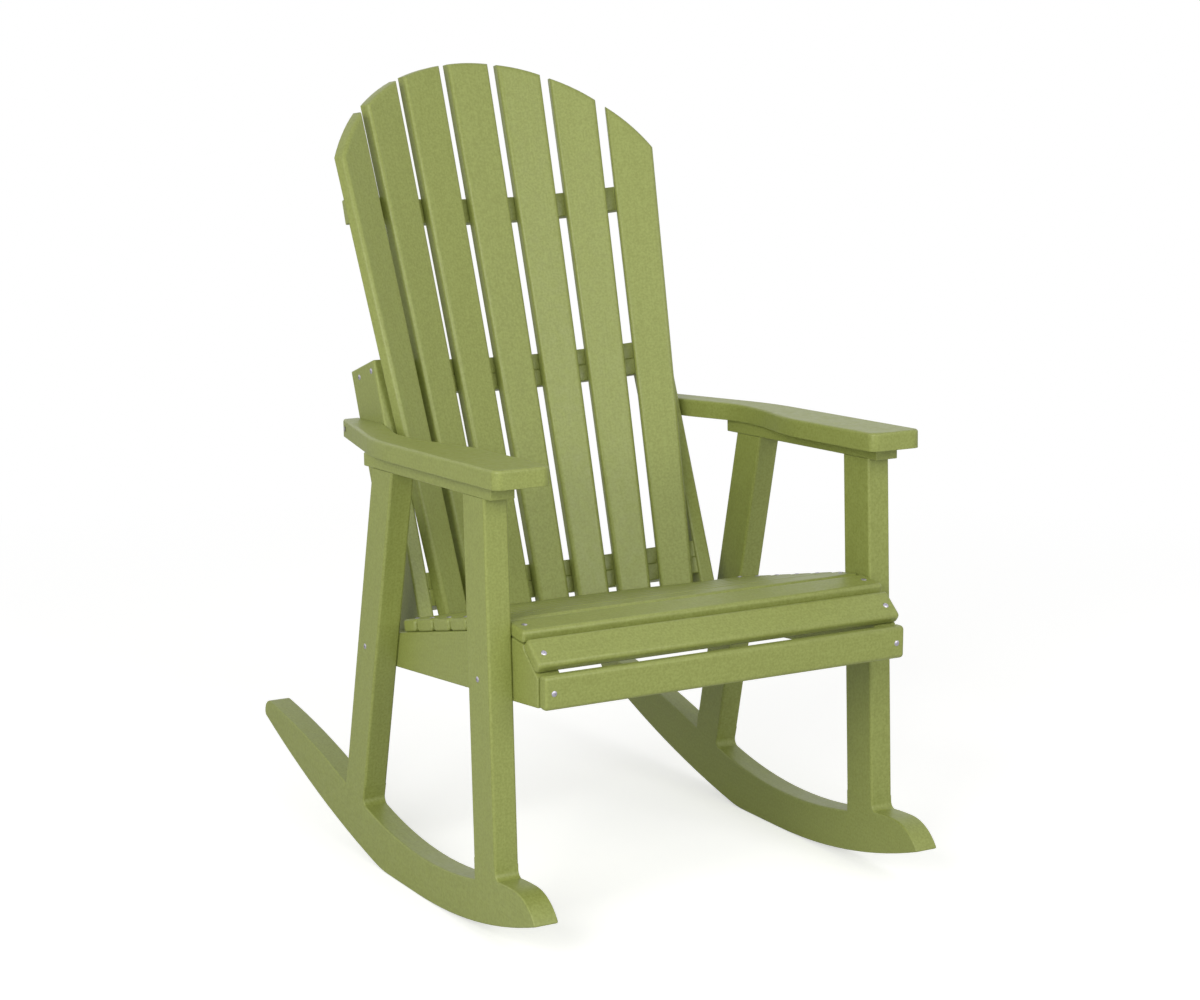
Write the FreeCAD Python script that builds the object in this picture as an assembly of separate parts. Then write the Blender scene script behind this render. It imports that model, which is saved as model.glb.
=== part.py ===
import FreeCAD, Part
import math
import os

os.makedirs("parts", exist_ok=True)

V = FreeCAD.Vector

# Rocking adirondack chair in solid plastic lumber, sizes in millimetres.
# +Z is up, the sitter faces -Y, +X is on the right seen from the front.
# The floor is Z = 0 and the chair is symmetric about X = 0.

# Board stock
SEAT_HALF = 304.8          # seat slats are 24 inches long
LEG_T = 38.1               # legs, runners and side rails
LEG_D = 66.0               # depth of a leg, square to its length
SLAT_T = 19.05             # seat and back slats, apron
UPRIGHT_T = 25.4
UPRIGHT_D = 88.9
ARM_T = 27.5
ARM_RAIL_T = 20.1
RAIL_T = 26.3              # each board of the middle and bottom cross rails
TOP_RAIL_T = 39.5
EDGE_R = 4.0               # rounding of the long edges of thick boards
SLAT_R = 6.35              # quarter-inch rounding of the long edges of slats
RAIL_R = 1.5
UPRIGHT_OUT = SEAT_HALF - LEG_T
BETWEEN = UPRIGHT_OUT - UPRIGHT_T   # half the room between the uprights
ARM_R = 4.0                # rounding round the top of an armrest

# Runners: the sole is flat in the middle, one arc to the front tip, and behind
# it a short bend and a long shallow arc to the rear tip
SOLE_R = 1086.0
FLAT_FRONT = -103.0
FLAT_BACK = 2.0
BEND_R = 200.0
BEND_SLOPE = math.atan(0.2)
TAIL_R = 2100.0
NOSE_Y = -473.7
TAIL_Y = 473.7
TAIL_TOP_Z = 169.5         # upper edge at the rear tip
TAIL_MID = (315.0, 145.5)
WAIST_R = 825.0            # upper edge between the legs
WAIST_Y = -120.0
WAIST_Z = 62.5
NOSE_TOP = (-412.0, 100.3) # crest in front of the front leg
FRONT_FOOT_Z = 97.0        # upper edge where it meets each leg's raised seat
REAR_FOOT_Z = 105.0
HEEL_Z = 82.0
TOE_Z = 84.5
TAIL_LOW_R = 8.0
TAIL_TOP_R = 20.0
TOE_R = 11.0
FOOT_R = 10.0

# Legs: front line of each at two heights
FRONT_LEG = ((-332.0, 632.5), (-357.0, 119.5))
REAR_LEG = ((-36.0, 628.5), (79.0, 119.5))
FRONT_JOINT = (-357.0, 116.0)
REAR_JOINT = (79.0, 118.0)

# Arms
ARM_SLOPE = math.atan(0.0333)
ARM_RAIL_Z = 628.0         # underside of the arm rail at Y = 0 on its slope
ARM_RAIL_FRONT = -352.5
ARM_RAIL_BACK = 60.0
ARM_FRONT = -394.0
ARM_BACK = 243.0
ARM_INSIDE = 36.7          # inner edge inside the ends of the seat slats
ARM_OUTSIDE = 51.8         # outer edge outside them
WAIST_INSIDE = 5.3
NECK_INSIDE = 13.8
NECK_OUTSIDE = 36.2
ARM_END_INSIDE = 11.8
ARM_IN = SEAT_HALF - ARM_INSIDE
ARM_OUT = SEAT_HALF + ARM_OUTSIDE
ARM_CORNER_R = 14.0
ARM_BEND = (-205.0, -60.0) # where the inner and outer edges leave the straight part
ARM_WAIST = (SEAT_HALF - WAIST_INSIDE, 8.0)  # innermost point of the swept inner edge
ARM_NECK_IN = (SEAT_HALF - NECK_INSIDE, 60.0)
ARM_NECK_OUT = (SEAT_HALF + NECK_OUTSIDE, 58.0)
ARM_END_X = SEAT_HALF - ARM_END_INSIDE
ARM_HUG_Y = (149.0, 121.0) # the neck leaves the upright between these
ARM_HUG = 6.0
ARM_SWAY = 0.45            # share of the inner S-bend before it turns back

# Seat: slats lie on a slope that falls to the back
SEAT_SLOPE = math.atan(0.2205)
SEAT_Z = 396.0             # top of the slope at Y = 0
SLAT_W = 50.8
SLAT_PITCH = 56.9          # along the slope
FIRST_SLAT_Y = -58.3       # middle of the rearmost narrow slat
FITTED_SLATS = 4
CREST_SLAT = (-287.5, 457.6, math.atan(0.135), SLAT_W)
FRONT_SLAT = (-347.8, 459.0, math.atan(-0.085), 54.0)
NOSE_SLAT = (-404.6, 431.0, math.atan(-0.832), 43.0)
SEAT_BACK_Y = 13.0         # rear edge of the rear board at its ends
SEAT_CURVE_HALF = 0.9615 * BETWEEN    # half width of its curved rear edge
SEAT_BACK_GAP = 3.0        # between that edge and the back slats
RAIL_REAR = (112.0, 305.5) # lower corners of a side rail, rear to front
RAIL_BEND = (60.0, 312.1)
RAIL_FRONT = (-415.0, 356.0)
APRON_H = 49.0
APRON_TOP = 404.3
APRON_SHORT = 2.0          # the apron is shorter than the slats at each end

# Back: slats fan out from LOW to HIGH, both measured along the leaned back, and
# their widths and arcs follow the room between the uprights
BACK_LEAN = math.radians(19.16)
BACK_N = -42.0             # front face of the middle slat
BACK_COUNT = 7
LOW_W = 404.7
LOW_SLAT = 0.225 * BETWEEN
LOW_R = 1.782 * BETWEEN
HIGH_W = 1209.7
HIGH_SLAT = 0.3017 * BETWEEN
HIGH_R = 2.5818 * BETWEEN
BACK_GAP = 0.0613 * BETWEEN
BACK_FOOT_W = 384.0
CROWN_R = 1.2971 * BETWEEN
CROWN_W = 1270.2
CROWN_TILT = 0.45          # tilt of the cut across the crown, 0 is level
BAND_D = 18.0              # depth of the curved rails behind the slats
TOP_EAR_N = -43.0          # rear of the wider ends of the top rail
MID_EAR_N = 13.0
BOTTOM_REAR_N = -7.0       # straight rear of the bottom rail
EAR_SWEEP = 18.0           # length over which an ear narrows to the band
TOP_EAR = 12.0             # straight end of each ear
MID_EAR = 30.0
TOP_RAIL_HALF = 1.0858 * BETWEEN
TOP_RAIL_W = 1008.3
MID_RAIL_W = 784.8
BOTTOM_RAIL_W = 445.1

# Uprights
UPRIGHT_LEAN = math.atan(0.405)
UPRIGHT_Y = 36.2           # front edge at UPRIGHT_Z
UPRIGHT_Z = 396.5
UPRIGHT_FOOT_Z = 330.0

# Screws, with the places of the heads
SCREW_INSIDE = 15.8        # from the ends of the seat slats
SCREW_X = SEAT_HALF - SCREW_INSIDE
LEG_SCREWS = ((-308.4, 378.3), (66.9, 344.7))
UPRIGHT_SCREW_DROP = 15.0  # below the top of the middle rail
UPRIGHT_SCREW_N = (-62.5, -16.0)     # front and rear screw, square to the leaned back
APRON_SCREW_Z = 379.3
REAR_SCREW_IN = 20.0       # from the rear edge of the rear board
ARM_SCREW_Y = 226.8
HEAD_R = 5.3
HEAD_T = 1.4               # a head stands this far above its board

# Fit between boards that touch without being fixed flat together
CLEAR = 0.2
RAIL_CLEAR = 0.5

# Two places closer than this are the same when edges are picked for rounding
NEAR = 0.01


def mirror(shape):
    """The same piece on the other side of the chair."""
    return shape.mirror(V(0, 0, 0), V(1, 0, 0))


def arc(a, b, c):
    return Part.Arc(a, b, c).toShape()


def line(a, b):
    return Part.makeLine(a, b)


def bend(a, heading, b):
    """Arc from a to b that leaves a along the heading."""
    chord = b - a
    heading = V(heading).normalize()
    square = chord - heading * chord.dot(heading)
    toward = V(square).normalize()
    radius = chord.dot(chord) / (2 * square.Length)
    centre = a + toward * radius
    out = ((a - centre) + (b - centre)).normalize()
    return arc(a, centre + out * radius, b)


def prism(edges, direction):
    """Solid swept from a closed flat outline."""
    face = Part.Face(Part.Wire(Part.__sortEdges__(edges)))
    return face.extrude(direction)


def polygon(points, direction):
    return Part.Face(Part.makePolygon(points + [points[0]])).extrude(direction)


def bar(width, depth, length, r):
    """Bar along +Z with rounded long edges, from the origin into +X and +Y."""
    k = r * (1 - math.sqrt(0.5))
    w, d = width, depth
    edges = [
        line(V(r, 0, 0), V(w - r, 0, 0)),
        arc(V(w - r, 0, 0), V(w - k, k, 0), V(w, r, 0)),
        line(V(w, r, 0), V(w, d - r, 0)),
        arc(V(w, d - r, 0), V(w - k, d - k, 0), V(w - r, d, 0)),
        line(V(w - r, d, 0), V(r, d, 0)),
        arc(V(r, d, 0), V(k, d - k, 0), V(0, d - r, 0)),
        line(V(0, d - r, 0), V(0, r, 0)),
        arc(V(0, r, 0), V(k, k, 0), V(r, 0, 0)),
    ]
    return prism(edges, V(0, 0, length))


def turn_x(shape, angle):
    """Turn about the X axis, +Y towards +Z for a positive angle."""
    shape.rotate(V(0, 0, 0), V(1, 0, 0), math.degrees(angle))
    return shape


def across(depth, height, half, r):
    """Bar lying along X: depth along +Y, height along -Z, centred on X = 0."""
    piece = bar(height, depth, 2 * half, r)
    piece.rotate(V(0, 0, 0), V(0, 1, 0), 90)
    piece.translate(V(-half, 0, 0))
    return piece


def sole_z(y):
    """Height of the sole of a runner."""
    if y < FLAT_FRONT:
        return SOLE_R - math.sqrt(SOLE_R ** 2 - (y - FLAT_FRONT) ** 2)
    bend_y = FLAT_BACK + BEND_R * math.sin(BEND_SLOPE)
    if y < bend_y:
        return BEND_R - math.sqrt(BEND_R ** 2 - max(0.0, y - FLAT_BACK) ** 2)
    bend_z = BEND_R * (1 - math.cos(BEND_SLOPE))
    centre_y = bend_y - TAIL_R * math.sin(BEND_SLOPE)
    centre_z = bend_z + TAIL_R * math.cos(BEND_SLOPE)
    return centre_z - math.sqrt(TAIL_R ** 2 - (y - centre_y) ** 2)


def waist_z(y):
    return WAIST_Z + WAIST_R - math.sqrt(WAIST_R ** 2 - (y - WAIST_Y) ** 2)


def leg_y(ends, z):
    """Y of the front line of a leg at a height."""
    (y1, z1), (y0, z0) = ends
    return y0 + (y1 - y0) * (z - z0) / (z1 - z0)


def leg_lean(ends):
    (y1, z1), (y0, z0) = ends
    return math.atan2(y1 - y0, z1 - z0)


def joint_end(ends, joint):
    """Rear end of the joint between a leg and its runner, square to the leg."""
    lean = leg_lean(ends)
    return (joint[0] + LEG_D * math.cos(lean), joint[1] - LEG_D * math.sin(lean))


def arm_rail_z(y):
    return ARM_RAIL_Z - math.tan(ARM_SLOPE) * y


def runner_outline():
    """Closed side outline of a runner with a raised seat for each leg."""
    def p(y, z):
        return V(SEAT_HALF, y, z)

    def on_sole(y):
        return p(y, sole_z(y))

    f_rear = joint_end(FRONT_LEG, FRONT_JOINT)
    r_rear = joint_end(REAR_LEG, REAR_JOINT)
    heel_y = f_rear[0] + (HEEL_Z - f_rear[1]) * math.tan(leg_lean(FRONT_LEG))
    rear_y = r_rear[0] + (REAR_FOOT_Z - r_rear[1]) * math.tan(leg_lean(REAR_LEG))
    toe_y = leg_y(REAR_LEG, TOE_Z)
    front_foot = p(leg_y(FRONT_LEG, FRONT_FOOT_Z), FRONT_FOOT_Z)
    waist_y = (heel_y + toe_y) / 2
    nose, tail = on_sole(NOSE_Y), on_sole(TAIL_Y)
    bend_end = FLAT_BACK + BEND_R * math.sin(BEND_SLOPE)
    bend_mid = FLAT_BACK + BEND_R * math.sin(BEND_SLOPE / 2)
    return [
        arc(nose, on_sole((NOSE_Y + FLAT_FRONT) / 2), on_sole(FLAT_FRONT)),
        line(on_sole(FLAT_FRONT), on_sole(FLAT_BACK)),
        arc(on_sole(FLAT_BACK), on_sole(bend_mid), on_sole(bend_end)),
        arc(on_sole(bend_end), on_sole((bend_end + TAIL_Y) / 2), tail),
        line(tail, p(TAIL_Y, TAIL_TOP_Z)),
        arc(p(TAIL_Y, TAIL_TOP_Z), p(*TAIL_MID), p(rear_y, REAR_FOOT_Z)),
        line(p(rear_y, REAR_FOOT_Z), p(*r_rear)),
        line(p(*r_rear), p(*REAR_JOINT)),
        line(p(*REAR_JOINT), p(toe_y, waist_z(toe_y))),
        arc(p(toe_y, waist_z(toe_y)), p(waist_y, waist_z(waist_y)), p(heel_y, waist_z(heel_y))),
        line(p(heel_y, waist_z(heel_y)), p(*f_rear)),
        line(p(*f_rear), p(*FRONT_JOINT)),
        line(p(*FRONT_JOINT), front_foot),
        bend(p(*NOSE_TOP), V(0, 1, 0), front_foot),
        bend(p(*NOSE_TOP), V(0, -1, 0), nose),
    ]


def runner():
    """Curved runner with rounded corners and rounded long edges."""
    body = prism(runner_outline(), V(LEG_T, 0, 0))
    corners = [
        (V(0, TAIL_Y, sole_z(TAIL_Y)), TAIL_LOW_R),
        (V(0, TAIL_Y, TAIL_TOP_Z), TAIL_TOP_R),
        (V(0, leg_y(REAR_LEG, TOE_Z), waist_z(leg_y(REAR_LEG, TOE_Z))), TOE_R),
        (V(0, leg_y(FRONT_LEG, FRONT_FOOT_Z), FRONT_FOOT_Z), FOOT_R),
    ]
    for at, r in corners:
        body = body.makeFillet(r, [edge_at(body, at)])
    return body


def edge_at(shape, at):
    """The edge along X that passes a point in side view."""
    for edge in shape.Edges:
        middle = edge.CenterOfMass
        if math.hypot(middle.y - at.y, middle.z - at.z) < NEAR and edge.Length > 1:
            return edge
    raise ValueError("no edge at %s" % at)


def leg(ends, joint):
    """Straight leg between the runner's seat and the underside of the arm rail."""
    lean = leg_lean(ends)
    piece = bar(LEG_T, LEG_D, 2 * (ends[0][1] - ends[1][1]), EDGE_R)
    turn_x(piece, -lean)
    piece.translate(V(SEAT_HALF, joint[0], joint[1]))
    (y1, z1), (y0, z0) = ends
    x, front, back = SEAT_HALF - CLEAR, y1 - 2 * LEG_D, y1 + 3 * LEG_D
    top = polygon([
        V(x, front, arm_rail_z(front)),
        V(x, back, arm_rail_z(back)),
        V(x, back, 2 * z1),
        V(x, front, 2 * z1),
    ], V(LEG_T + 2 * CLEAR, 0, 0))
    return piece.cut(top)


def arm_rail():
    length = (ARM_RAIL_BACK - ARM_RAIL_FRONT) / math.cos(ARM_SLOPE)
    piece = bar(LEG_T, ARM_RAIL_T, length, RAIL_R)
    piece.rotate(V(0, 0, 0), V(1, 0, 0), -90)
    piece.translate(V(0, 0, ARM_RAIL_T))
    turn_x(piece, -ARM_SLOPE)
    piece.translate(V(SEAT_HALF, ARM_RAIL_FRONT, arm_rail_z(ARM_RAIL_FRONT)))
    return piece


def arm_outline():
    """Plan of the right armrest: straight front part, swept rear neck."""
    def p(x, y):
        return V(x, y, 0)

    r = ARM_CORNER_R
    k = r * (1 - math.sqrt(0.5))
    hug_x = UPRIGHT_OUT + CLEAR
    ahead = V(0, 1, 0)
    start = p(ARM_IN, ARM_BEND[0])
    waist = p(*ARM_WAIST)
    turn = start + (waist - start) * ARM_SWAY
    neck_in, neck_out = p(*ARM_NECK_IN), p(*ARM_NECK_OUT)
    hug = p(hug_x + ARM_HUG, ARM_HUG_Y[1])
    end = p(ARM_END_X, ARM_BACK)
    return [
        line(p(ARM_IN + r, ARM_FRONT), p(ARM_OUT - r, ARM_FRONT)),
        arc(p(ARM_OUT - r, ARM_FRONT), p(ARM_OUT - k, ARM_FRONT + k), p(ARM_OUT, ARM_FRONT + r)),
        line(p(ARM_OUT, ARM_FRONT + r), p(ARM_OUT, ARM_BEND[1])),
        bend(p(ARM_OUT, ARM_BEND[1]), ahead, neck_out),
        line(neck_out, end),
        line(end, p(hug_x, ARM_BACK)),
        line(p(hug_x, ARM_BACK), p(hug_x, ARM_HUG_Y[0])),
        line(p(hug_x, ARM_HUG_Y[0]), hug),
        line(hug, neck_in),
        bend(waist, ahead, neck_in),
        bend(waist, -ahead, turn),
        bend(start, ahead, turn),
        line(start, p(ARM_IN, ARM_FRONT + r)),
        arc(p(ARM_IN, ARM_FRONT + r), p(ARM_IN + k, ARM_FRONT + k), p(ARM_IN + r, ARM_FRONT)),
    ]


def arm_base_z():
    """Height of the underside of an armrest where Y = 0."""
    return arm_rail_z(0) + ARM_RAIL_T / math.cos(ARM_SLOPE)


def arm():
    """Armrest lying on the slope of the arm rail, its top edge rounded all round."""
    body = prism(arm_outline(), V(0, 0, ARM_T))
    edges = []
    for edge in body.Edges:
        box = edge.BoundBox
        at_upright = box.XMax < UPRIGHT_OUT + CLEAR + NEAR
        if box.ZMin > ARM_T - NEAR and not at_upright and box.YMin < ARM_BACK - NEAR:
            edges.append(edge)
    body = body.makeFillet(ARM_R, edges)
    turn_x(body, -ARM_SLOPE)
    body.translate(V(0, 0, arm_base_z()))
    return body


def seat_top_z(y):
    return SEAT_Z - math.tan(SEAT_SLOPE) * y


def seat_slat(y, z, slope, width=SLAT_W):
    """Slat across the seat: middle of its top at (y, z), falling to the back."""
    piece = across(width, SLAT_T, SEAT_HALF, SLAT_R)
    piece.translate(V(0, -width / 2, 0))
    turn_x(piece, -slope)
    piece.translate(V(0, y, z))
    return piece


def seat_places():
    """Middle of the top, slope and width of each straight seat slat, rear to front."""
    places = []
    for i in range(FITTED_SLATS):
        y = FIRST_SLAT_Y - i * SLAT_PITCH * math.cos(SEAT_SLOPE)
        places.append((y, seat_top_z(y), SEAT_SLOPE, SLAT_W))
    return places + [CREST_SLAT, FRONT_SLAT, NOSE_SLAT]


def back_point(x, w, n):
    """Point on the leaned back: w up along the lean, n square to it."""
    s, c = math.sin(BACK_LEAN), math.cos(BACK_LEAN)
    return V(x, w * s + n * c, w * c - n * s)


def fan(w):
    """Slat width and arc radius at a height along the back."""
    t = (w - LOW_W) / (HIGH_W - LOW_W)
    return LOW_SLAT + (HIGH_SLAT - LOW_SLAT) * t, LOW_R + (HIGH_R - LOW_R) * t


def slat_corners(i, w):
    """Front corners (x, n) of back slat i, counted from the middle one."""
    width, r = fan(w)
    corners = []
    for side in (-0.5, 0.5):
        s = i * (width + BACK_GAP) + side * width
        corners.append((r * math.sin(s / r), BACK_N - r * (1 - math.cos(s / r))))
    return corners


def back_slat(i):
    """Tapered flat slat on the fanned arc, its top cut to the crown."""
    (la, lb) = [back_point(x, BACK_FOOT_W, n) for x, n in slat_corners(i, BACK_FOOT_W)]
    top_w = CROWN_W + BACK_GAP
    (ha, hb) = [back_point(x, top_w, n) for x, n in slat_corners(i, top_w)]
    up = ((ha + hb) - (la + lb)).normalize()
    cross = ((lb - la).normalize() + (hb - ha).normalize())
    cross = (cross - up * cross.dot(up)).normalize()
    rear = up.cross(cross)
    origin = (la + lb) * 0.5
    half_low = (lb - la).dot(cross) / 2
    half_high = (hb - ha).dot(cross) / 2
    length = ((ha + hb) * 0.5 - origin).dot(up)
    face = [
        origin - cross * half_low,
        origin + cross * half_low,
        origin + up * length + cross * half_high,
        origin + up * length - cross * half_high,
    ]
    if rear.y < 0:
        rear = rear * -1
    board = polygon(face, rear * SLAT_T)
    level = V(rear.x, rear.y, rear.z * CROWN_TILT).normalize()
    board = board.cut(crown_cutter(face, origin, cross, up, level))
    edges = []
    for edge in board.Edges:
        middle = edge.CenterOfMass - origin
        on_front = abs(middle.dot(rear)) < 0.1
        if on_front and middle.dot(up) > 1.0:
            edges.append(edge)
    return board.makeFillet(SLAT_R, edges)


def crown_w(x):
    """Height of the crown along the back at a distance from the middle."""
    return CROWN_W - CROWN_R + math.sqrt(max(0.0, CROWN_R ** 2 - x ** 2))


def crown_cutter(face, origin, cross, up, level):
    """What the crown takes off a slat: an arc on its front face, swept back."""
    def on_face(t):
        """Where the crown crosses the face, t of the way from one edge to the other."""
        low, high = 0.0, 2.0
        for _ in range(50):
            v = (low + high) / 2
            left = face[0] + (face[3] - face[0]) * v
            right = face[1] + (face[2] - face[1]) * v
            point = left + (right - left) * t
            w = point.y * math.sin(BACK_LEAN) + point.z * math.cos(BACK_LEAN)
            if w < crown_w(point.x):
                low = v
            else:
                high = v
        return point

    margin = 0.1
    points = [on_face(t) - level * (SLAT_T / 3) for t in (-margin, 0.5, 1 + margin)]
    a, m, b = points
    lift = up * (face[3] - face[0]).Length
    outline = [arc(a, m, b), line(b, b + lift), line(b + lift, a + lift), line(a + lift, a)]
    return prism(outline, level * (3 * SLAT_T))


def rail_arc(w):
    """Radius and middle depth of an arc just behind every slat at a height."""
    width, r = fan(w)
    points = []
    for i in range(BACK_COUNT // 2 + 1):
        (xa, na), (xb, nb) = slat_corners(i, w)
        d = math.hypot(xb - xa, nb - na)
        ox, on = -(nb - na) / d * SLAT_T, (xb - xa) / d * SLAT_T
        points.append((xa + ox, na + on))
        points.append((xb + ox, nb + on))
    x1, n1 = points[1]
    x2, n2 = points[-1]
    h = n1 - n2
    radius = ((x2 ** 2 - x1 ** 2) + h ** 2) / (2 * h)
    for _ in range(20):
        h = n1 - n2
        a = math.sqrt(radius ** 2 - x1 ** 2)
        b = math.sqrt(radius ** 2 - x2 ** 2)
        radius *= 1 + ((a - b) - h) / h * 0.9
    back = 0.0
    middle = n1 + radius - math.sqrt(radius ** 2 - x1 ** 2)
    for x, n in points:
        back = max(back, n - (middle - radius + math.sqrt(radius ** 2 - x ** 2)))
    return radius, middle + back + RAIL_CLEAR


def back_rail(w_top, thick, half, ear_n=None, ear=0.0, straight=False):
    """Rail behind the slats with a concave front. Its rear runs parallel to the
    front and widens into an ear at each end, or is straight all the way."""
    radius, middle = rail_arc(w_top)
    centre = middle - radius

    def at(x, r):
        return back_point(x, w_top, centre + math.sqrt(r ** 2 - x ** 2))

    front = (at(-half, radius), at(0, radius), at(half, radius))
    outer = radius + BAND_D
    if ear_n is None:
        ends = [at(-half, outer), at(half, outer)]
        rear = [arc(ends[0], at(0, outer), ends[1])]
    elif straight:
        ends = [back_point(-half, w_top, ear_n), back_point(half, w_top, ear_n)]
        rear = [line(*ends)]
    else:
        neck = half - ear - EAR_SWEEP
        ends = [back_point(-half, w_top, ear_n), back_point(half, w_top, ear_n)]
        inner = [back_point(ear - half, w_top, ear_n), back_point(half - ear, w_top, ear_n)]
        rear = [
            line(ends[0], inner[0]),
            line(inner[0], at(-neck, outer)),
            arc(at(-neck, outer), at(0, outer), at(neck, outer)),
            line(at(neck, outer), inner[1]),
            line(inner[1], ends[1]),
        ]
    edges = [arc(*front), line(front[0], ends[0]), line(front[2], ends[1])] + rear
    return prism(edges, back_point(0, -thick, 0))


def upright():
    """Leaning board inside the side rail, its top square and level with the rail."""
    length = 2 * (MID_RAIL_W - UPRIGHT_FOOT_Z)
    start = UPRIGHT_Y + (UPRIGHT_FOOT_Z - UPRIGHT_Z) * math.tan(UPRIGHT_LEAN)
    piece = bar(UPRIGHT_T, UPRIGHT_D, length, EDGE_R)
    piece.translate(V(0, 0, -UPRIGHT_D))
    turn_x(piece, -UPRIGHT_LEAN)
    piece.translate(V(BETWEEN, start, UPRIGHT_FOOT_Z))
    x = BETWEEN - CLEAR
    reach = 4 * UPRIGHT_D
    above = polygon([
        back_point(x, MID_RAIL_W, -reach),
        back_point(x, MID_RAIL_W, reach),
        back_point(x, MID_RAIL_W + length, reach),
        back_point(x, MID_RAIL_W + length, -reach),
    ], V(UPRIGHT_T + 2 * CLEAR, 0, 0))
    below = polygon([
        V(x, -reach, UPRIGHT_FOOT_Z),
        V(x, reach, UPRIGHT_FOOT_Z),
        V(x, reach, 0),
        V(x, -reach, 0),
    ], V(UPRIGHT_T + 2 * CLEAR, 0, 0))
    return piece.cut(above).cut(below)


def under(place, side):
    """Lower corner of a seat slat: its front one for side -1, its rear one for 1."""
    y, z, slope, width = place
    s, c = math.sin(slope), math.cos(slope)
    d = side * width / 2
    return (y + d * c - SLAT_T * s, z - d * s - SLAT_T * c)


def side_rail():
    """Side of the seat frame; its upper edge follows the undersides of the slats."""
    slope_end = seat_places()[FITTED_SLATS - 1]
    nose_low = under(NOSE_SLAT, -1)
    points = [
        (RAIL_REAR[0], seat_top_z(RAIL_REAR[0]) - SLAT_T / math.cos(SEAT_SLOPE)),
        under(slope_end, -1),
        under(CREST_SLAT, 1),
        under(CREST_SLAT, -1),
        under(FRONT_SLAT, 1),
        under(FRONT_SLAT, -1),
        under(NOSE_SLAT, 1),
        nose_low,
        (RAIL_FRONT[0], nose_low[1] - (nose_low[0] - RAIL_FRONT[0])),
        RAIL_FRONT,
        RAIL_BEND,
        RAIL_REAR,
    ]
    return polygon([V(UPRIGHT_OUT, y, z) for y, z in points], V(LEG_T, 0, 0))


def apron():
    piece = across(SLAT_T, APRON_H, SEAT_HALF - APRON_SHORT, SLAT_R)
    piece.translate(V(0, RAIL_FRONT[0] - SLAT_T, APRON_TOP))
    return piece


def seat_rear_board():
    """Rear seat board: straight front, rear edge curved along the back slats."""
    y_front = FIRST_SLAT_Y + (SLAT_PITCH - SLAT_W / 2) * math.cos(SEAT_SLOPE)
    radius, middle = rail_arc(BACK_FOOT_W)
    face = back_point(0, 0, BACK_N)
    lean, fall = math.tan(BACK_LEAN), math.tan(SEAT_SLOPE)
    middle_y = (face.y + (SEAT_Z - face.z) * lean) / (1 + fall * lean) - SEAT_BACK_GAP
    drop = radius - math.sqrt(radius ** 2 - SEAT_CURVE_HALF ** 2)
    corner_y = middle_y - drop / math.cos(BACK_LEAN)
    x1, x2 = SEAT_HALF, SEAT_CURVE_HALF

    def p(x, y):
        return V(x, y, 0)

    edges = [
        line(p(-x1, y_front), p(x1, y_front)),
        line(p(x1, y_front), p(x1, SEAT_BACK_Y)),
        line(p(x1, SEAT_BACK_Y), p(x2, corner_y)),
        arc(p(x2, corner_y), p(0, middle_y), p(-x2, corner_y)),
        line(p(-x2, corner_y), p(-x1, SEAT_BACK_Y)),
        line(p(-x1, SEAT_BACK_Y), p(-x1, y_front)),
    ]
    body = prism(edges, V(0, 0, -SLAT_T))
    front = []
    for edge in body.Edges:
        box = edge.BoundBox
        on_front = max(abs(box.YMin - y_front), abs(box.YMax - y_front)) < NEAR
        if on_front and edge.Length > SEAT_HALF:
            front.append(edge)
    body = body.makeFillet(SLAT_R, front)
    turn_x(body, -SEAT_SLOPE)
    body.translate(V(0, 0, SEAT_Z))
    return body


def screw(at, out):
    """Low round screw head bearing on a board; out points away from the board."""
    return Part.makeCylinder(HEAD_R, HEAD_T, at, out)


def both_sides(points):
    """The given places and directions, and their mirror images."""
    result = []
    for at, out in points:
        result.append((at, out))
        result.append((V(-at.x, at.y, at.z), V(-out.x, out.y, out.z)))
    return result


def leg_screws():
    x = SEAT_HALF + LEG_T
    return both_sides([(V(x, y, z), V(1, 0, 0)) for y, z in LEG_SCREWS])


def seat_screws():
    places = []
    for y, z, slope, width in seat_places():
        out = V(0, math.sin(slope), math.cos(slope))
        places.append((V(SCREW_X, y, z), out))
    out = V(0, math.sin(SEAT_SLOPE), math.cos(SEAT_SLOPE))
    y = SEAT_BACK_Y - REAR_SCREW_IN
    places.append((V(SCREW_X, y, seat_top_z(y)), out))
    return both_sides(places)


def apron_screws():
    return both_sides([(V(SCREW_X, RAIL_FRONT[0] - SLAT_T, APRON_SCREW_Z), V(0, -1, 0))])


def upright_screws():
    w = MID_RAIL_W - UPRIGHT_SCREW_DROP
    return both_sides([(back_point(UPRIGHT_OUT, w, n), V(1, 0, 0)) for n in UPRIGHT_SCREW_N])


def arm_screws():
    """Screw through each neck into its upright, square to the neck's outer side."""
    run = V(ARM_END_X - ARM_NECK_OUT[0], ARM_BACK - ARM_NECK_OUT[1], 0).normalize()
    x = ARM_END_X + (ARM_SCREW_Y - ARM_BACK) * run.x / run.y
    tilt = FreeCAD.Rotation(V(1, 0, 0), -math.degrees(ARM_SLOPE))
    at = tilt.multVec(V(x, ARM_SCREW_Y, ARM_T / 2)) + V(0, 0, arm_base_z())
    return both_sides([(at, tilt.multVec(V(run.y, -run.x, 0)))])


def write(name, shapes):
    shape = shapes[0] if len(shapes) == 1 else Part.makeCompound(shapes)
    shape.exportStep("parts/%s.step" % name)


def write_pair(name, shape):
    write(name + "_right", [shape])
    write(name + "_left", [mirror(shape)])


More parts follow.
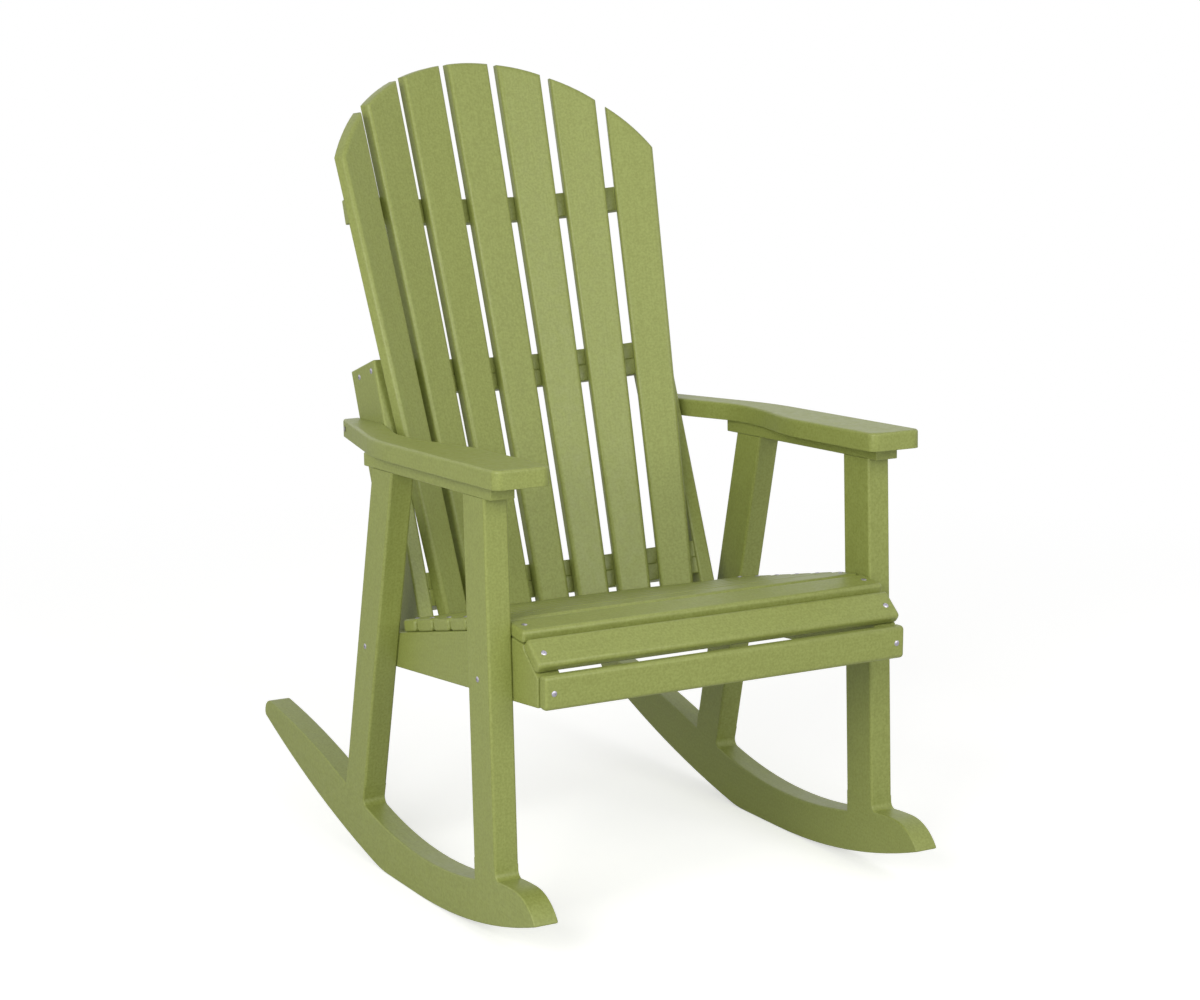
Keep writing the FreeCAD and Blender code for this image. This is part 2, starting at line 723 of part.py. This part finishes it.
def main():
    legs = leg_screws()
    seats = seat_screws()
    write_pair("runner", runner())
    write_pair("front_leg", leg(FRONT_LEG, FRONT_JOINT))
    write_pair("rear_leg", leg(REAR_LEG, REAR_JOINT))
    write_pair("arm_rail", arm_rail())
    write_pair("armrest", arm())
    write_pair("side_rail", side_rail())
    write_pair("upright", upright())
    write("seat_rear_board", [seat_rear_board()])
    names = ["seat_slat_%d" % (i + 1) for i in range(FITTED_SLATS + 1)]
    names = names + ["seat_front_slat", "seat_nose_slat"]
    for name, place in zip(names, seat_places()):
        write(name, [seat_slat(*place)])
    write("apron", [apron()])
    half = BACK_COUNT // 2
    for i in range(-half, half + 1):
        write("back_slat_%d" % (i + half + 1), [back_slat(i)])
    write("top_rail", [back_rail(TOP_RAIL_W + TOP_RAIL_T, TOP_RAIL_T, TOP_RAIL_HALF, TOP_EAR_N, TOP_EAR)])
    write("middle_rail_upper", [back_rail(MID_RAIL_W, RAIL_T, BETWEEN, MID_EAR_N, MID_EAR)])
    write("middle_rail_lower", [back_rail(MID_RAIL_W - RAIL_T, RAIL_T, BETWEEN)])
    low_w = BOTTOM_RAIL_W - RAIL_T
    write("bottom_rail_upper", [back_rail(BOTTOM_RAIL_W, RAIL_T, BETWEEN, BOTTOM_REAR_N, straight=True)])
    write("bottom_rail_lower", [back_rail(low_w, RAIL_T, BETWEEN, BOTTOM_REAR_N, straight=True)])
    write("leg_screws", [screw(*s) for s in legs])
    write("seat_screws", [screw(*s) for s in seats])
    write("apron_screws", [screw(*s) for s in apron_screws()])
    write("upright_screws", [screw(*s) for s in upright_screws()])
    write("arm_screws", [screw(*s) for s in arm_screws()])


main()
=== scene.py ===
import bmesh, bpy, math
import numpy as np
from mathutils import Matrix, Vector


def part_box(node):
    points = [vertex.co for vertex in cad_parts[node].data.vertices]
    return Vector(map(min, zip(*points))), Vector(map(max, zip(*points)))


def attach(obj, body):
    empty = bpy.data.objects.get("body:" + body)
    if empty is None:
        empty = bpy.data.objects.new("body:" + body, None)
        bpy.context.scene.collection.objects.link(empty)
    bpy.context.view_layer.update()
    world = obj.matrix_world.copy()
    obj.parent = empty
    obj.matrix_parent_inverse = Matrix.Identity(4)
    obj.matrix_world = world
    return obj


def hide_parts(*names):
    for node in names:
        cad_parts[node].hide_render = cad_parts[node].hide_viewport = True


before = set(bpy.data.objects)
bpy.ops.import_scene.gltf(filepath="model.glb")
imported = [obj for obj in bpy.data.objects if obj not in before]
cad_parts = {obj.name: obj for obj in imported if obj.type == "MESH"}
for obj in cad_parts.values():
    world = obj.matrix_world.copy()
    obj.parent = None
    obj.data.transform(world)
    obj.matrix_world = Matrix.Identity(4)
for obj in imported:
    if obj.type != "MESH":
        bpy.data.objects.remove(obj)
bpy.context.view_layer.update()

# Back slats: seven tapered boards of solid high-density polyethylene, extruded
# and then planed, so the flat faces are dull and a little mottled, with a faint
# drag of the die along each board. They are screwed to the rails from behind.


def linear(code):
    """A colour given as sRGB hex, turned to linear light for a shader socket."""
    values = [int(code[i:i + 2], 16) / 255 for i in (1, 3, 5)]
    return [v / 12.92 if v <= 0.04045 else ((v + 0.055) / 1.055) ** 2.4 for v in values] + [1.0]


def add(tree, kind, links=(), **settings):
    """Adds a node: plain settings go on the node, and links maps a socket to a value or to another socket."""
    node = tree.nodes.new(kind)
    for name, value in settings.items():
        setattr(node, name, value)
    for name, value in dict(links).items():
        socket = node.inputs[name]
        if isinstance(value, bpy.types.NodeSocket):
            tree.links.new(value, socket)
        else:
            socket.default_value = value
    return node


same_point = 0.00001           # corners this near are one, in metres
flat_turn = math.radians(0.4)  # faces that turn less are one plane
sharp_turn = math.radians(35)  # edges that turn more are eased


def run_of(board):
    """Direction in which a board was extruded: the line its vertices spread along most."""
    points = np.empty(len(board.data.vertices) * 3, np.float32)
    board.data.vertices.foreach_get("co", points)
    points = points.reshape(-1, 3).astype(float)
    along = np.linalg.svd(points - points.mean(0), full_matrices=False)[2][0]
    return Vector(along * np.sign(along[np.argmax(np.abs(along))]))


def plastic_lumber(name, along, batch, rims):
    """Lime-green solid polyethylene board: dull, pigment slightly uneven, fine streaks along the board, and a paler
    painted highlight along its edges when rims is set.
    """
    material = bpy.data.materials.new(name)
    material.use_nodes = True
    tree = material.node_tree
    shader = tree.nodes["Principled BSDF"]
    side = along.cross(Vector((0, 0, 1)) if abs(along.z) < 0.9 else Vector((1, 0, 0))).normalized()
    turn = Matrix((along, side, along.cross(side))).to_euler()
    place = add(tree, "ShaderNodeTexCoord").outputs["Object"]
    # Each board is cut from another length, so the pattern starts elsewhere on it
    start = (0.37 * batch, 0.11 * batch, 0)
    board = add(tree, "ShaderNodeMapping", {"Vector": place, "Rotation": turn, "Location": start})
    board = board.outputs["Vector"]
    # Die streaks: 90 mm long and about 2.5 mm apart
    drawn = add(tree, "ShaderNodeMapping", {"Vector": board, "Scale": (1 / 0.09, 1 / 0.0025, 1 / 0.0025)})
    streak = add(tree, "ShaderNodeTexNoise", {"Vector": drawn.outputs["Vector"], "Scale": 1.0, "Detail": 2.0})
    # Pigment clouds of 14 mm, and a pebbled skin of 3.6 mm, the finest that shows
    cloud = add(tree, "ShaderNodeTexNoise", {"Vector": board, "Scale": 1 / 0.014, "Detail": 3.0, "Roughness": 0.6})
    pebble = add(tree, "ShaderNodeTexNoise", {"Vector": board, "Scale": 1 / 0.0036, "Detail": 2.0})
    mottle = add(tree, "ShaderNodeMath", {0: streak.outputs["Fac"], 1: 0.2, 2: 0.0}, operation="MULTIPLY_ADD")
    mottle = add(tree, "ShaderNodeMath", {0: cloud.outputs["Fac"], 1: 0.15, 2: mottle.outputs[0]}, operation="MULTIPLY_ADD")
    mottle = add(tree, "ShaderNodeMath", {0: pebble.outputs["Fac"], 1: 0.65, 2: mottle.outputs[0]}, operation="MULTIPLY_ADD")
    ramp = add(tree, "ShaderNodeValToRGB", {"Fac": mottle.outputs[0]})
    ramp.color_ramp.elements[0].position, ramp.color_ramp.elements[1].position = 0.38, 0.62
    ramp.color_ramp.elements[0].color, ramp.color_ramp.elements[1].color = linear("#878F47"), linear("#949D54")
    # Painted highlight: a strip of 2 mm along every edge is mixed a little paler, standing in for light caught on the
    # rounded edges; boards without rims get none
    rim = add(tree, "ShaderNodeBevel", {"Radius": 0.002}, samples=4)
    face = add(tree, "ShaderNodeNewGeometry")
    facing = add(tree, "ShaderNodeVectorMath", {0: rim.outputs["Normal"], 1: face.outputs["Normal"]},
                 operation="DOT_PRODUCT")
    edge_highlight_strength = 0.4 if rims else 0.0
    painted_edge_highlight = add(tree, "ShaderNodeMapRange", {"Value": facing.outputs["Value"], "From Min": 0.88,
                                               "From Max": 1.0, "To Min": edge_highlight_strength, "To Max": 0.0})
    skin = add(tree, "ShaderNodeMix", {"Factor": painted_edge_highlight.outputs["Result"]}, data_type="RGBA")
    # Sockets 6, 7 and 2 are the colours A, B and Result of this node
    tree.links.new(ramp.outputs["Color"], skin.inputs[6])
    # A3AB68 is the paler colour of the painted edge highlight
    skin.inputs[7].default_value = linear("#A3AB68")
    tree.links.new(skin.outputs[2], shader.inputs["Base Color"])
    rough = add(tree, "ShaderNodeMapRange", {"Value": cloud.outputs["Fac"], "From Min": 0.3, "From Max": 0.7, "To Min": 0.38, "To Max": 0.48})
    tree.links.new(rough.outputs["Result"], shader.inputs["Roughness"])
    relief = add(tree, "ShaderNodeMath", {0: pebble.outputs["Fac"], 1: streak.outputs["Fac"]}, operation="ADD")
    bump = add(tree, "ShaderNodeBump", {"Height": relief.outputs[0], "Strength": 0.22, "Distance": 0.0003, "Normal": (rim if rims else face).outputs["Normal"]})
    tree.links.new(bump.outputs["Normal"], shader.inputs["Normal"])
    shader.inputs["IOR"].default_value = 1.5
    return material


def dress(board, name, batch, eased, clamp=True):
    """Gives a board the lumber finish along its run, and eases its sharp edges by a radius where one is given; eased
    boards also get a painted highlight along their edges.
    """
    if eased:
        merged = board.modifiers.new("merged", "WELD")
        merged.merge_threshold = same_point
        planes = board.modifiers.new("planes", "DECIMATE")
        planes.decimate_type, planes.angle_limit = "DISSOLVE", flat_turn
        edges = board.modifiers.new("eased_edges", "BEVEL")
        edges.width, edges.segments = eased, 3
        edges.limit_method, edges.angle_limit = "ANGLE", sharp_turn
        edges.harden_normals = True
        edges.use_clamp_overlap = clamp
    finish = plastic_lumber("polyethylene_" + name, run_of(board), batch, bool(eased))
    board.data.materials.clear()
    board.data.materials.append(finish)


def drawn_out(name, way, length, batch, eased, clamp=True):
    """Copy of a CAD board with the half that lies towards a direction carried on by a length, its section unchanged."""
    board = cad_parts[name]
    mesh = board.data.copy()
    points = np.empty(len(mesh.vertices) * 3, np.float32)
    mesh.vertices.foreach_get("co", points)
    points = points.reshape(-1, 3).astype(float)
    reach = points @ np.array(way)
    points += (reach > (reach.min() + reach.max()) / 2)[:, None] * length * np.array(way)
    mesh.vertices.foreach_set("co", points.astype(np.float32).ravel())
    piece = bpy.data.objects.new("full_" + name, mesh)
    bpy.context.scene.collection.objects.link(piece)
    dress(piece, name, batch, eased, clamp)
    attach(piece, "root")
    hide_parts(name)


# Their feet run down past the wide seat board, 16 mm further than the solids
for number in range(1, 8):
    name = "back_slat_%d" % number
    drawn_out(name, -run_of(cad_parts[name]), 0.016, number, 0.002)

# Cross rails behind the slats: the same lumber, cut to a curve along the front
# so that every slat bears on it. The middle and bottom ones are two boards deep.
rails = ["top_rail", "middle_rail_upper", "middle_rail_lower", "bottom_rail_upper", "bottom_rail_lower"]
for batch, name in enumerate(rails):
    dress(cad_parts[name], name, 10 + batch, 0.0015)

# Seat: narrow slats screwed down on the side rails, a wider board at the back
# whose rear edge follows the back slats, and an apron across the front.
seat = ["seat_rear_board", "seat_front_slat", "apron"] + ["seat_slat_%d" % n for n in range(1, 6)]
for batch, name in enumerate(seat):
    dress(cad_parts[name], name, 20 + batch, 0.0045, False)
# The nose slat slopes at 39.8 degrees and reaches 6.5 mm further up under the front slat than the solid
nose_slope = math.radians(39.8)
drawn_out("seat_nose_slat", (0.0, math.cos(nose_slope), math.sin(nose_slope)), 0.0065, 29, 0.0045, False)

# Frame: legs, side rails, uprights, arm rails and armrests, a left and a right
# one of each, sawn from thicker boards with their long edges rounded. A leg's
# foot is flush with the runner, so its end keeps its sharp edge.
eased = {"front_leg": 0, "rear_leg": 0, "side_rail": 0.0025, "upright": 0.002,
         "arm_rail": 0.0015, "armrest": 0.003}
for batch, (name, radius) in enumerate(eased.items()):
    dress(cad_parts[name + "_left"], name + "_left", 30 + batch, radius)
    dress(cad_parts[name + "_right"], name + "_right", 40 + batch, radius)


# Runners: two rockers cut from thick polyethylene board, their rims rounded by a
# router all round but at the two feet, where the legs stand flush on them.
def rounded_runner(side, radius, margin, batch):
    """Merged copy of the CAD runner with every edge over 35 degrees rounded, but those inside the box of a leg."""
    name = "runner_" + side
    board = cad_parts[name]
    legs = [np.array(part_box(leg + side)) for leg in ("front_leg_", "rear_leg_")]
    shell = bmesh.new()
    shell.from_mesh(board.data)
    bmesh.ops.remove_doubles(shell, verts=shell.verts, dist=same_point)
    bmesh.ops.dissolve_limit(shell, angle_limit=flat_turn, verts=shell.verts, edges=shell.edges)

    def at_joint(edge):
        middle = np.array((edge.verts[0].co + edge.verts[1].co) / 2)
        return any(((middle > low - margin) & (middle < high + margin)).all() for low, high in legs)

    whole = [e for e in shell.edges if len(e.link_faces) == 2]
    rims = [e for e in whole if e.calc_face_angle() > sharp_turn and not at_joint(e)]
    bmesh.ops.bevel(shell, geom=rims, offset=radius, offset_type="OFFSET", segments=3,
                    profile=0.5, affect="EDGES", clamp_overlap=True)
    mesh = bpy.data.meshes.new("rounded_" + name)
    shell.to_mesh(mesh)
    shell.free()
    mesh.shade_smooth()
    mesh.set_sharp_from_angle(angle=math.radians(50))
    mesh.materials.append(plastic_lumber("polyethylene_" + name, run_of(board), batch, False))
    piece = bpy.data.objects.new("rounded_" + name, mesh)
    bpy.context.scene.collection.objects.link(piece)
    even = piece.modifiers.new("even_faces", "WEIGHTED_NORMAL")
    even.keep_sharp = True
    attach(piece, "root")
    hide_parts(name)


rounded_runner("left", 0.0025, 0.0008, 50)
rounded_runner("right", 0.0025, 0.0008, 51)

# Screws: low domed heads of stainless steel with a square drive, cold headed and
# tumbled, so they are clean but carry fine scratches. Each bears on its board.
def stainless_steel(name):
    """Tumbled stainless steel: grey metal, fairly smooth, with fine random scratches 0.4 mm apart."""
    material = bpy.data.materials.new(name)
    material.use_nodes = True
    tree = material.node_tree
    shader = tree.nodes["Principled BSDF"]
    place = add(tree, "ShaderNodeTexCoord").outputs["Object"]
    scratch = add(tree, "ShaderNodeTexNoise", {"Vector": place, "Scale": 1 / 0.0004, "Detail": 3.0})
    shader.inputs["Base Color"].default_value = linear("#BDB9C6")
    shader.inputs["Metallic"].default_value = 1.0
    rough = add(tree, "ShaderNodeMapRange", {"Value": scratch.outputs["Fac"], "From Min": 0.3, "From Max": 0.7, "To Min": 0.26, "To Max": 0.42})
    tree.links.new(rough.outputs["Result"], shader.inputs["Roughness"])
    bump = add(tree, "ShaderNodeBump", {"Height": scratch.outputs["Fac"], "Strength": 0.3, "Distance": 0.00005})
    tree.links.new(bump.outputs["Normal"], shader.inputs["Normal"])
    return material


def screw_head(centre, out, twist):
    """A ring is a circle or a square times a radius, at a height; the rings run from the recess floor over the dome to the board."""
    radius = np.array([0.0, 1.0, 1.1, 1.8, 2.7, 3.5, 4.0, 4.3, 4.3, 0.0]) / 1000
    height = np.array([0.35, 0.35, 1.34, 1.3, 1.12, 0.8, 0.42, 0.2, 0.0, 0.0]) / 1000
    square = np.array([0, 1, 1, 0, 0, 0, 0, 0, 0, 0])[:, None]
    angle = np.linspace(0, 2 * math.pi, 32, endpoint=False)[None, :]
    to_square = 1 / np.maximum(np.abs(np.cos(angle)), np.abs(np.sin(angle)))
    size = radius[:, None] * (1 + square * (to_square - 1))
    side = out.orthogonal().normalized()
    x, y = np.array(side), np.array(out.cross(side))
    turned = angle + twist
    flat = size[..., None] * (np.cos(turned)[..., None] * x + np.sin(turned)[..., None] * y)
    half_head = 0.0007
    return np.array(centre) + flat + (height[:, None, None] - half_head) * np.array(out)


steel = stainless_steel("stainless_steel")
twists = np.random.default_rng(7)
facing = {"leg_screws": (1, 0, 0), "seat_screws": (0, 0, 1), "apron_screws": (0, -1, 0),
          "upright_screws": (1, 0, 0), "arm_screws": (0, 0, 1)}
head_reach = 0.0125  # corners this near the first belong to the same head
for name, way in facing.items():
    corners = np.empty(len(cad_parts[name].data.vertices) * 3, np.float32)
    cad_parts[name].data.vertices.foreach_get("co", corners)
    corners = np.unique(np.round(corners.reshape(-1, 3).astype(float), 6), axis=0)
    heads = []
    while len(corners):
        near = np.linalg.norm(corners - corners[0], axis=1) < head_reach
        rim = corners[near]
        corners = corners[~near]
        centre = (rim.min(0) + rim.max(0)) / 2
        out = Vector(np.linalg.svd(rim - rim.mean(0), full_matrices=False)[2][2])
        toward = Vector(way) * (math.copysign(1, centre[0]) if way[0] else 1)
        out = out if out.dot(toward) > 0 else -out
        heads.append(screw_head(centre, out, twists.uniform(0, math.pi / 2)))
    rings = np.array(heads)
    index = np.arange(rings[..., 0].size).reshape(rings.shape[:3])
    after = np.roll(index, -1, axis=2)
    quads = np.stack([index[:, :-1], index[:, 1:], after[:, 1:], after[:, :-1]], -1).reshape(-1, 4)
    mesh = bpy.data.meshes.new(name + "_heads")
    mesh.from_pydata(rings.reshape(-1, 3).tolist(), [], quads.tolist())
    shell = bmesh.new()
    shell.from_mesh(mesh)
    bmesh.ops.remove_doubles(shell, verts=shell.verts, dist=0.000002)
    bmesh.ops.recalc_face_normals(shell, faces=shell.faces)
    shell.to_mesh(mesh)
    shell.free()
    mesh.shade_smooth()
    mesh.set_sharp_from_angle(angle=math.radians(40))
    mesh.materials.append(steel)
    piece = bpy.data.objects.new(name + "_heads", mesh)
    bpy.context.scene.collection.objects.link(piece)
    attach(piece, "root")
    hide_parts(name)

# Studio: a pale floor that turns to plain white away from the chair, white
# surroundings, and soft lamps at the left front as in the photograph.
world = bpy.data.worlds.new("white_room")
bpy.context.scene.world = world
world.use_nodes = True
tree = world.node_tree
seen = add(tree, "ShaderNodeLightPath")
shown = add(tree, "ShaderNodeMath", {0: seen.outputs["Is Camera Ray"], 1: seen.outputs["Is Glossy Ray"]}, operation="MAXIMUM")
shown = add(tree, "ShaderNodeMath", {0: shown.outputs[0], 1: seen.outputs["Is Transmission Ray"]}, operation="MAXIMUM")
level = add(tree, "ShaderNodeMapRange", {"Value": shown.outputs[0], "To Min": 0.43, "To Max": 1.0})
tree.links.new(level.outputs["Result"], tree.nodes["Background"].inputs["Strength"])
tree.nodes["Background"].inputs["Color"].default_value = (1, 1, 1, 1)

across = np.linspace(-12.0, 12.0, 13)
gx, gy = np.meshgrid(across, across, indexing="ij")
flat = np.stack([gx, gy, np.full_like(gx, -0.0005)], -1).reshape(-1, 3)
index = np.arange(13 * 13).reshape(13, 13)
quads = np.stack([index[:-1, :-1], index[1:, :-1], index[1:, 1:], index[:-1, 1:]], -1).reshape(-1, 4)
floor_mesh = bpy.data.meshes.new("floor")
floor_mesh.from_pydata(flat.tolist(), [], quads.tolist())
floor = bpy.data.objects.new("floor", floor_mesh)
bpy.context.scene.collection.objects.link(floor)
paint = bpy.data.materials.new("white_floor_paint")
paint.use_nodes = True
tree = paint.node_tree
tree.nodes.remove(tree.nodes["Principled BSDF"])
matt = add(tree, "ShaderNodeBsdfDiffuse", {"Color": linear("#E6E6E4")})
glow = add(tree, "ShaderNodeEmission", {"Color": (1, 1, 1, 1), "Strength": 0.56})
lit = add(tree, "ShaderNodeAddShader", {0: matt.outputs[0], 1: glow.outputs[0]})
seen = add(tree, "ShaderNodeLightPath")
mixed = add(tree, "ShaderNodeMixShader", {0: seen.outputs["Is Camera Ray"], 1: matt.outputs[0], 2: lit.outputs[0]})
# From 1.3 to 3 m away the seen floor turns to the same white as the room
spot = add(tree, "ShaderNodeTexCoord")
away = add(tree, "ShaderNodeVectorMath", {0: spot.outputs["Object"]}, operation="LENGTH")
fade = add(tree, "ShaderNodeMapRange", {"Value": away.outputs["Value"], "From Min": 1.3, "From Max": 3.0})
fade = add(tree, "ShaderNodeMath", {0: fade.outputs["Result"], 1: seen.outputs["Is Camera Ray"]}, operation="MULTIPLY")
white = add(tree, "ShaderNodeEmission", {"Color": (1, 1, 1, 1), "Strength": 1.0})
faded = add(tree, "ShaderNodeMixShader", {0: fade.outputs[0], 1: mixed.outputs[0], 2: white.outputs[0]})
tree.links.new(faded.outputs[0], tree.nodes["Material Output"].inputs["Surface"])
floor_mesh.materials.append(paint)


def soft_lamp(name, place, target, size, watts):
    """Square area lamp at a place, aimed at a target."""
    data = bpy.data.lights.new(name, "AREA")
    data.shape, data.size, data.energy = "SQUARE", size, watts
    lamp = bpy.data.objects.new(name, data)
    bpy.context.scene.collection.objects.link(lamp)
    lamp.location = place
    lamp.rotation_euler = (Vector(target) - Vector(place)).to_track_quat("-Z", "Y").to_euler()


soft_lamp("key", (-3.6, -2.2, 2.4), (0, 0, 0.6), 2.4, 105)
soft_lamp("front", (0.6, -4.2, 2.6), (0, 0, 0.6), 2.4, 62)

# Camera: at the photograph's viewing angle, slightly above the arms.
azimuth, elevation = math.radians(-29.847), math.radians(10.816)
eye = Vector((-1.95046, -3.45512, 1.30855))
view = Vector((-math.sin(azimuth) * math.cos(elevation), math.cos(azimuth) * math.cos(elevation), -math.sin(elevation)))
lens = bpy.data.cameras.new("camera")
lens.sensor_width = 36.0
lens.lens = 2599.0 * 36.0 / 1200
camera = bpy.data.objects.new("camera", lens)
bpy.context.scene.collection.objects.link(camera)
camera.location = eye
camera.rotation_euler = view.to_track_quat("-Z", "Y").to_euler()
bpy.context.scene.camera = camera
bpy.context.scene.view_settings.view_transform = "Standard"
